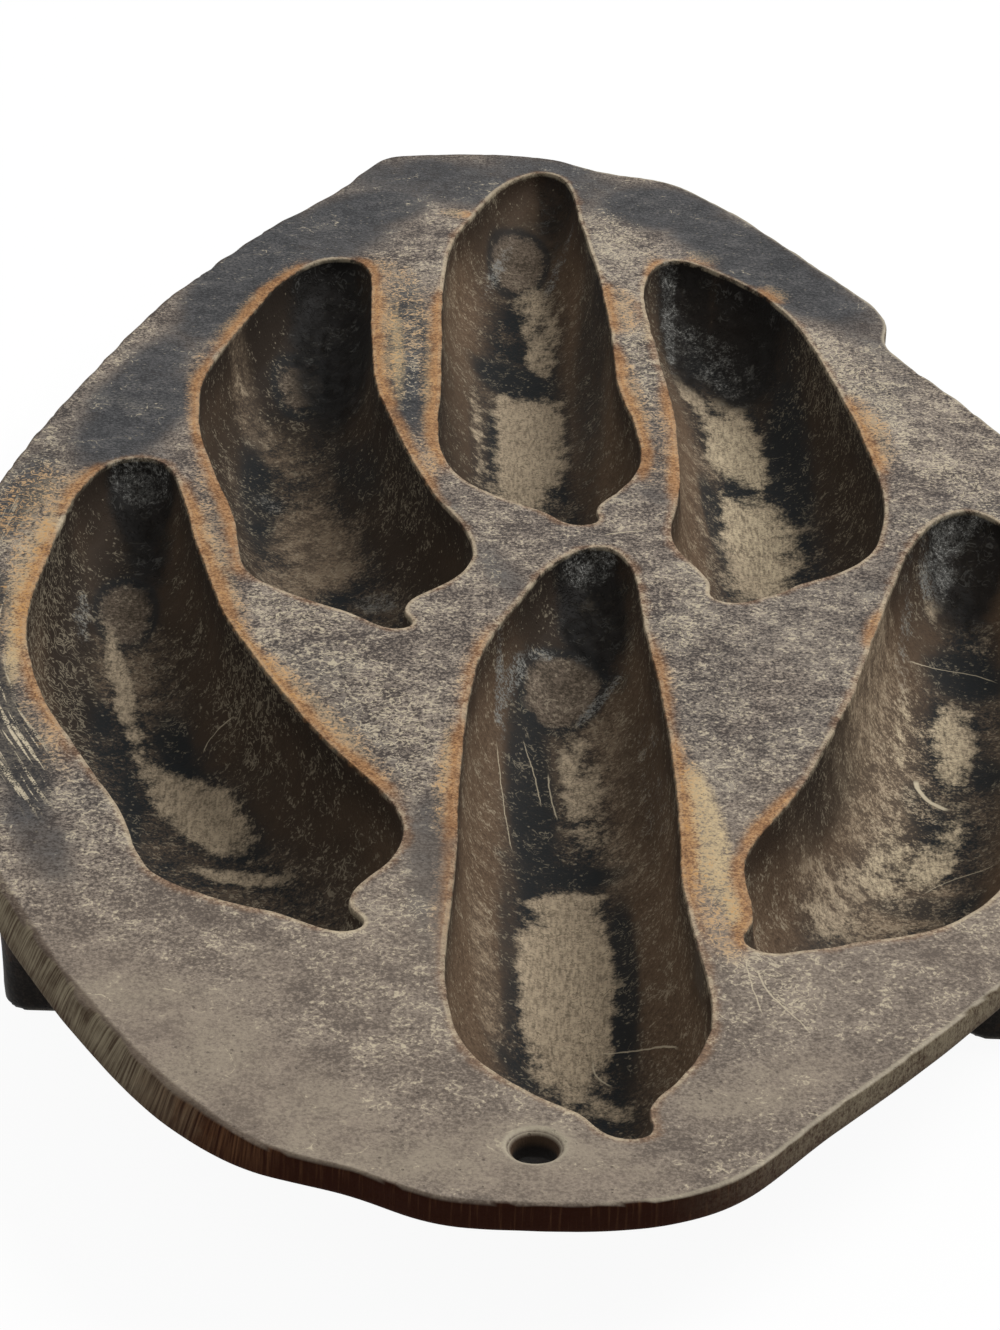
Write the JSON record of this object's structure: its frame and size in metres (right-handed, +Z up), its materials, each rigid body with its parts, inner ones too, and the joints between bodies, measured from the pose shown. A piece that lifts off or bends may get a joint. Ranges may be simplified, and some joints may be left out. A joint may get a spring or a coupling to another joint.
{
  "type": "pepper-shaped baking pan",
  "caption": "Flat cast-iron baking pan with chili-pepper-shaped hollows, a free outer edge, short feet and a hanging hole.",
  "frame": {"origin": "under the middle of the pan, on the surface that it stands on", "axes": "+Z up, +Y along the pan from the hanging hole to the far end, +X to the right seen from the hanging hole"},
  "size_m": [0.1735, 0.3314, 0.0225],
  "materials": {
    "cast_iron": "seasoned black iron, worn grey on the plate, rusty at the lips"
  },
  "bodies": {
    "root": {"top_plate": "cast_iron", "cup_far_centre": "cast_iron", "cup_near_centre": "cast_iron", "cup_left_far": "cast_iron", "cup_left_near": "cast_iron", "cup_right_far": "cast_iron", "cup_right_near": "cast_iron", "foot_left": "cast_iron", "foot_right": "cast_iron"}
  },
  "joints": []
}
